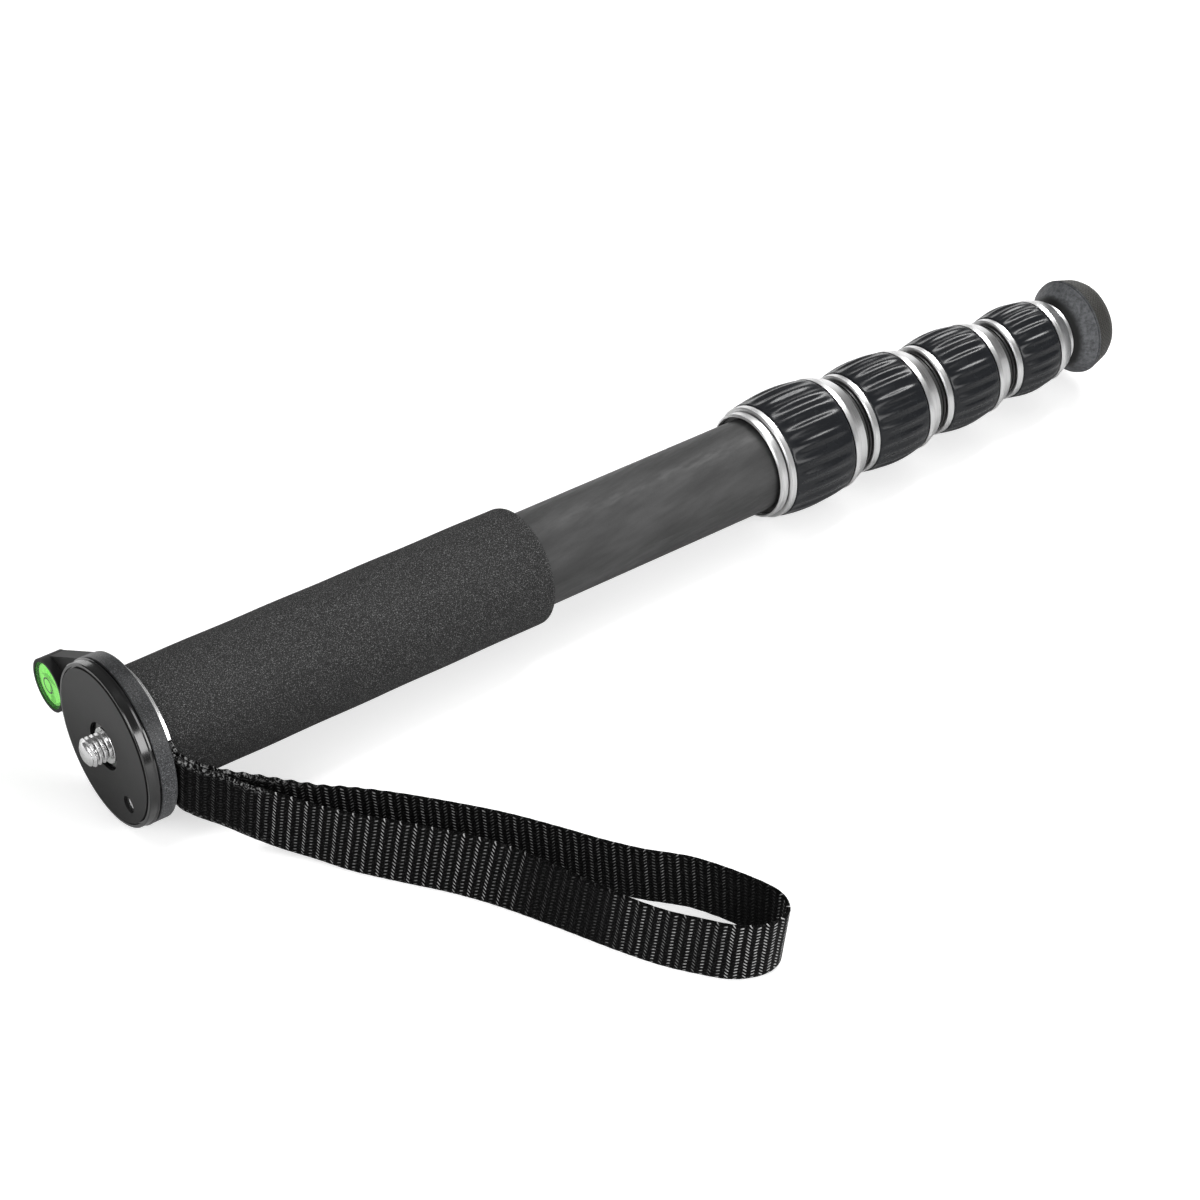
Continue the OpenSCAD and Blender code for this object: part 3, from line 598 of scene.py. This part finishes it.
def foam_grip(look):
    """Foam sleeve, a little uneven, with soft round ends."""
    low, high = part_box("foam_grip")
    r_out = high.z
    r_in = outer_radius("tube_1") + FOAM_SEAT
    turns = np.linspace(0, math.pi / 2, 9)
    end = FOAM_ROUND * (1 - np.cos(turns))
    side = FOAM_ROUND * (1 - np.sin(turns))
    rows = np.linspace(low.x + FOAM_ROUND, high.x - FOAM_ROUND, FOAM_ROWS)[1:-1]
    station = np.concatenate([[low.x], low.x + end, rows, high.x - end[::-1], [high.x]])
    straight = np.full(len(rows), r_out)
    radius = np.concatenate([[r_in], r_out - side, straight, r_out - side[::-1], [r_in]])
    angle = np.arange(FOAM_COLUMNS) * TURN / FOAM_COLUMNS
    wave = FOAM_WAVE * np.sin(station[:, None] * 190 + 2 * np.sin(3 * angle[None, :]))
    wave[[0, -1]] = 0
    radii = radius[:, None] + wave - FOAM_WAVE
    piece = turned("foam_grip_soft", station, radii, look, FOAM_COLUMNS, hollow=True)
    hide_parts("foam_grip")
    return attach(piece, "upper")


def rubber_foot(look):
    """Flared foot: cone, raised line, rim band with a soft edge, and the sole."""
    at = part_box("rubber_foot")[0].x
    profile = [
        (0.0, 10.0), (0.0, 11.0), (0.25, 11.35), (2.5, 13.0), (4.0, 14.2), (5.6, 15.5), (6.6, 16.35),
        (6.9, 16.65), (7.05, 16.8), (7.2, 16.85), (7.4, 16.75), (7.5, 16.55), (7.7, 16.55), (7.8, 16.95),
        (8.0, 17.15), (8.3, 17.2), (9.5, 16.85), (11.0, 16.45), (12.5, 16.05), (14.0, 15.6), (14.6, 15.35),
        (15.0, 15.1), (16.0, 14.5), (16.7, 14.0), (17.0, 13.5), (17.0, 5.0),
    ]
    stations = [at + x * MM for x, _ in profile]
    radii = [r * MM for _, r in profile]
    piece = turned("rubber_foot_flared", stations, radii, look, FOOT_SEGMENTS)
    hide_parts("rubber_foot")
    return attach(piece, "section_5")


def spline(points, steps):
    """Smooth curve through points, with the same number of steps in each span."""
    p = np.asarray(points, float)
    before, after = np.vstack([p[:1], p[:-1]]), np.vstack([p[1:], p[-1:]])
    far = np.vstack([p[2:], p[-1:], p[-1:]])
    rows = []
    for a, b, c, d in zip(before[:-1], p[:-1], after[:-1], far[:-1]):
        for t in np.arange(steps) / steps:
            square = (2 * a - 5 * b + 4 * c - d) * t ** 2
            cube = (3 * b - a - 3 * c + d) * t ** 3
            rows.append(0.5 * (2 * b + (c - a) * t + square + cube))
    rows.append(p[-1])
    return np.array(rows)


def evenly(points, step):
    """The same curve with points one step apart, and their distance along it."""
    gap = np.linalg.norm(np.diff(points[:, :3], axis=0), axis=1)
    run = np.concatenate([[0], np.cumsum(gap)])
    along = np.linspace(0, run[-1], int(run[-1] / step) + 1)
    return np.stack([np.interp(along, run, points[:, k]) for k in range(points.shape[1])], 1), along


def left_normals(points):
    """Level normal on the left of each point's direction of travel."""
    run = np.gradient(points[:, :2], axis=0)
    run /= np.linalg.norm(run, axis=1)[:, None]
    return np.stack([-run[:, 1], run[:, 0], np.zeros(len(run))], 1)


def wrist_strap(look):
    """Webbing that leaves the neck as two sewn layers and opens into the hand loop."""
    sewn = np.array(SEWN_ROUTE)
    shift = np.zeros_like(sewn)
    opening = np.linspace(1.0, 1.5, len(sewn))[:, None]
    shift[:, :3] = STRAP_LAYER * opening * left_normals(sewn)
    route = np.vstack([sewn - shift, LOOP_ROUTE[1:-1], (sewn + shift)[::-1]])
    route[:, :3] += np.array(STRAP_EXIT)
    path, along = evenly(spline(route, 10), WEBBING_STEP)
    side = left_normals(path)
    lean = side * path[:, 3:4]
    up = np.zeros_like(side)
    up[:, 2] = np.sqrt(STRAP_WIDTH ** 2 - path[:, 3] ** 2)
    # Half the width, the width of one rounded edge and the step to its tip, as shares of the width
    half, edge, tip = 0.5, 0.04, 0.012
    skin = STRAP_THICK / 2
    face = np.linspace(-half + edge, half - edge, 9)
    section = [(v, 1.0) for v in face] + [(half - tip, 0.62), (half, 0.0), (half - tip, -0.62)]
    section += [(v, -1.0) for v in face[::-1]] + [(-half + tip, -0.62), (-half, 0.0), (-half + tip, 0.62)]
    rough_end = np.clip((along - KNOTS_FROM) / KNOTS_GROW, 0, 1)
    knots = (0.002 + 0.02 * rough_end) * np.cos(along * TURN / (2 * WEAVE_PITCH))
    rings = []
    for v, w in section:
        at_edge = max(0.0, abs(v) - (half - edge)) / edge
        across = v + math.copysign(1.0, v) * at_edge * knots
        rings.append(path[:, :3] + across[:, None] * (up + lean) + w * skin * side)
    points = np.stack(rings, 1)
    piece = grid_piece("wrist_strap_webbing", points, look)
    weave = piece.data.uv_layers.new(name="weave")
    columns = len(section)
    width = [v * STRAP_WIDTH / MM for v, _ in section]
    spots = [(along[i // columns] / MM, width[i % columns]) for i in range(len(points) * columns)]
    for loop in piece.data.loops:
        weave.data[loop.index].uv = spots[loop.vertex_index]
    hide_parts("wrist_strap", "strap_anchor")
    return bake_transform(piece)


def level_marks(look):
    """Printed ring on the vial's face."""
    low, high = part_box("level_vial")
    centre = ((low.y + high.y) / 2, (low.z + high.z) / 2)
    front = low.x - LEVEL_INK
    inner, outer = LEVEL_RING_R - LEVEL_LINE / 2, LEVEL_RING_R + LEVEL_LINE / 2
    stations, radii = [front, front, low.x, low.x], [inner, outer, outer, inner]
    piece = turned("level_ring", stations, radii, look, LEVEL_SEGMENTS, centre, hollow=True)
    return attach(piece, "upper")


look_metal = brushed_look("satin_metal", 0.8, 0.32, 0.25)
look_polished = brushed_look("polished", 0.9, 0.25, 0.1)
look_steel = steel_look("steel", 0.85, 0.22)
look_screw = steel_look("screw_steel", 0.85, 0.5, 0.2)
look_carbon = carbon_look()
look_seal = rubber_look("seal_rubber", 0.012, 0.0, 0.6, 0.03 * MM)
look_guide = rubber_look("guide_plastic", 0.35, 0.0, 0.5, 0.02 * MM)
look_collet = rubber_look("collet_plastic", 0.6, 0.0, 0.5, 0.02 * MM)
look_grip = rubber_look("grip_rubber", 0.013, 0.16, 0.25, 0.01 * MM, 0.24)

node_looks = {
    "mounting_plate": plate_look(),
    "plate_pad": pad_look(),
    "camera_stud": look_steel,
    "head_lock_screw": look_screw,
    "head_base": cast_look(),
    "level_vial": clear_look(),
    "level_fluid": fluid_look(),
    "neck_ring": look_polished,
    "head_plug": look_metal,
    "foot_plug": look_metal,
    "foot_stud": look_steel,
}
# Each ferrule's look paints shade in black around its tube: in the first one's recess, and over the others'
# flanges in the gaps
for lock in LOCKS:
    recess = outer_radius("tube_%d" % lock) / MM + (RECESS_W if lock == 1 else FLANGE_W)
    node_looks["ferrule_%d" % lock] = brushed_look("ferrule_metal_%d" % lock, 0.8, 0.32, 0.25, recess)
    node_looks["collar_%d" % lock] = look_metal
    node_looks["collet_%d" % lock] = look_collet
    node_looks["wiper_seal_%d" % lock] = look_seal
    node_looks["guide_%d" % (lock + 1)] = look_guide
for number in range(1, 6):
    node_looks["tube_%d" % number] = look_carbon
for name, look in node_looks.items():
    nodes[name].data.materials.clear()
    nodes[name].data.materials.append(look)

for lock in LOCKS:
    grip_sleeve(lock, look_grip)
stud_thread(look_steel)
foam_grip(foam_look())
rubber_foot(foot_look())
wrist_strap(webbing_look())
level_marks(rubber_look("level_ink", 0.02, -0.5, 0.4, 0.01 * MM))


def floor_look():
    """Pale floor that reads white to the camera and in reflections, and still takes the object's shadow.
    It glows more far away, where the lamps don't reach, and in reflections less beside the object."""
    look = Look("floor")
    place = look.millimetres()
    aside = look.math("ABSOLUTE", look.add("SeparateXYZ", {0: place}).outputs[1])
    beside = look.ramp(aside, 20.0, 260.0)
    away = look.add("VectorMath", {0: place}, operation="LENGTH").outputs["Value"]
    cloud = look.noise(place, 0.004, 2.0)
    colour = look.mix(cloud, grey(0.7), grey(0.72))
    rays = look.add("LightPath", {}).outputs
    seen = look.math("MAXIMUM", rays["Is Camera Ray"], rays["Is Transmission Ray"])
    seen = look.math("MAXIMUM", seen, look.math("MULTIPLY", rays["Is Glossy Ray"], beside))
    return look.surface(
        Base_Color=colour, Roughness=0.9, Specular_IOR_Level=0.0, Emission_Color=grey(1.0),
        Emission_Strength=look.math("MULTIPLY", seen, look.ramp(away, 700.0, 2200.0, 0.57, 1.0)),
    )


def add_floor():
    """Floor that touches the head base's lower edge and the first grip, on which the monopod lies.
    Past that grip it runs level, so that it stays below the sections when they are drawn out."""
    base_low, base_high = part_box("head_base")
    grip_low, grip_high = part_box("grip_sleeve_1")
    fold = (grip_low.x + grip_high.x) / 2
    slope = (grip_low.z - base_low.z) / (fold - base_high.x)
    lift = base_low.z - slope * base_high.x - FLOOR_GAP
    level = lift + slope * fold
    rows = [(-FLOOR_REACH, lift - slope * FLOOR_REACH), (fold, level), (FLOOR_REACH, level)]
    corners = [(x, y, z) for x, z in rows for y in (-FLOOR_REACH, FLOOR_REACH)]
    mesh = bpy.data.meshes.new("floor")
    mesh.from_pydata(corners, [], [(0, 2, 3, 1), (2, 4, 5, 3)])
    mesh.materials.append(floor_look())
    floor = bpy.data.objects.new("floor", mesh)
    bpy.context.scene.collection.objects.link(floor)


def add_world():
    """Studio surround, lighter overhead, that the camera sees as white."""
    world = bpy.data.worlds.new("studio")
    bpy.context.scene.world = world
    world.use_nodes = True
    tree = world.node_tree
    background = tree.nodes["Background"]
    background.inputs["Color"].default_value = grey(1.0)
    place = tree.nodes.new("ShaderNodeTexCoord")
    split = tree.nodes.new("ShaderNodeSeparateXYZ")
    tree.links.new(place.outputs["Generated"], split.inputs[0])
    sky = tree.nodes.new("ShaderNodeMapRange")
    for key, value in {1: -0.1, 2: 0.9, 3: 0.15, 4: 0.2}.items():
        sky.inputs[key].default_value = value
    tree.links.new(split.outputs[2], sky.inputs[0])
    rays = tree.nodes.new("ShaderNodeLightPath")
    shown = tree.nodes.new("ShaderNodeMath")
    shown.operation = "MAXIMUM"
    tree.links.new(sky.outputs[0], shown.inputs[0])
    tree.links.new(rays.outputs["Is Camera Ray"], shown.inputs[1])
    tree.links.new(shown.outputs[0], background.inputs["Strength"])


def add_lamp(name, place, wide, tall, power):
    """Soft lamp that faces the middle of the object."""
    data = bpy.data.lights.new(name, "AREA")
    data.shape = "RECTANGLE"
    data.size = wide
    data.size_y = tall
    data.energy = power
    lamp = bpy.data.objects.new(name, data)
    lamp.location = place
    lamp.rotation_mode = "QUATERNION"
    lamp.rotation_quaternion = (MIDDLE - lamp.location).to_track_quat("-Z", "Y")
    bpy.context.scene.collection.objects.link(lamp)


def add_camera():
    """Camera that sees the part as the photograph does."""
    data = bpy.data.cameras.new("camera")
    data.sensor_width = SENSOR_MM
    data.lens = FOCAL_PX / PHOTO_SIZE * SENSOR_MM
    back = -CAMERA_FORWARD
    up = back.cross(CAMERA_RIGHT)
    camera = bpy.data.objects.new("camera", data)
    turn = Matrix((CAMERA_RIGHT, up, back)).transposed()
    camera.matrix_world = Matrix.Translation(CAMERA_AT) @ turn.to_4x4()
    bpy.context.scene.collection.objects.link(camera)
    bpy.context.scene.camera = camera


add_floor()
add_world()
for name, (place, wide, tall, power) in LAMPS.items():
    add_lamp(name, place, wide, tall, power)
add_camera()
bpy.context.scene.view_settings.view_transform = "Standard"
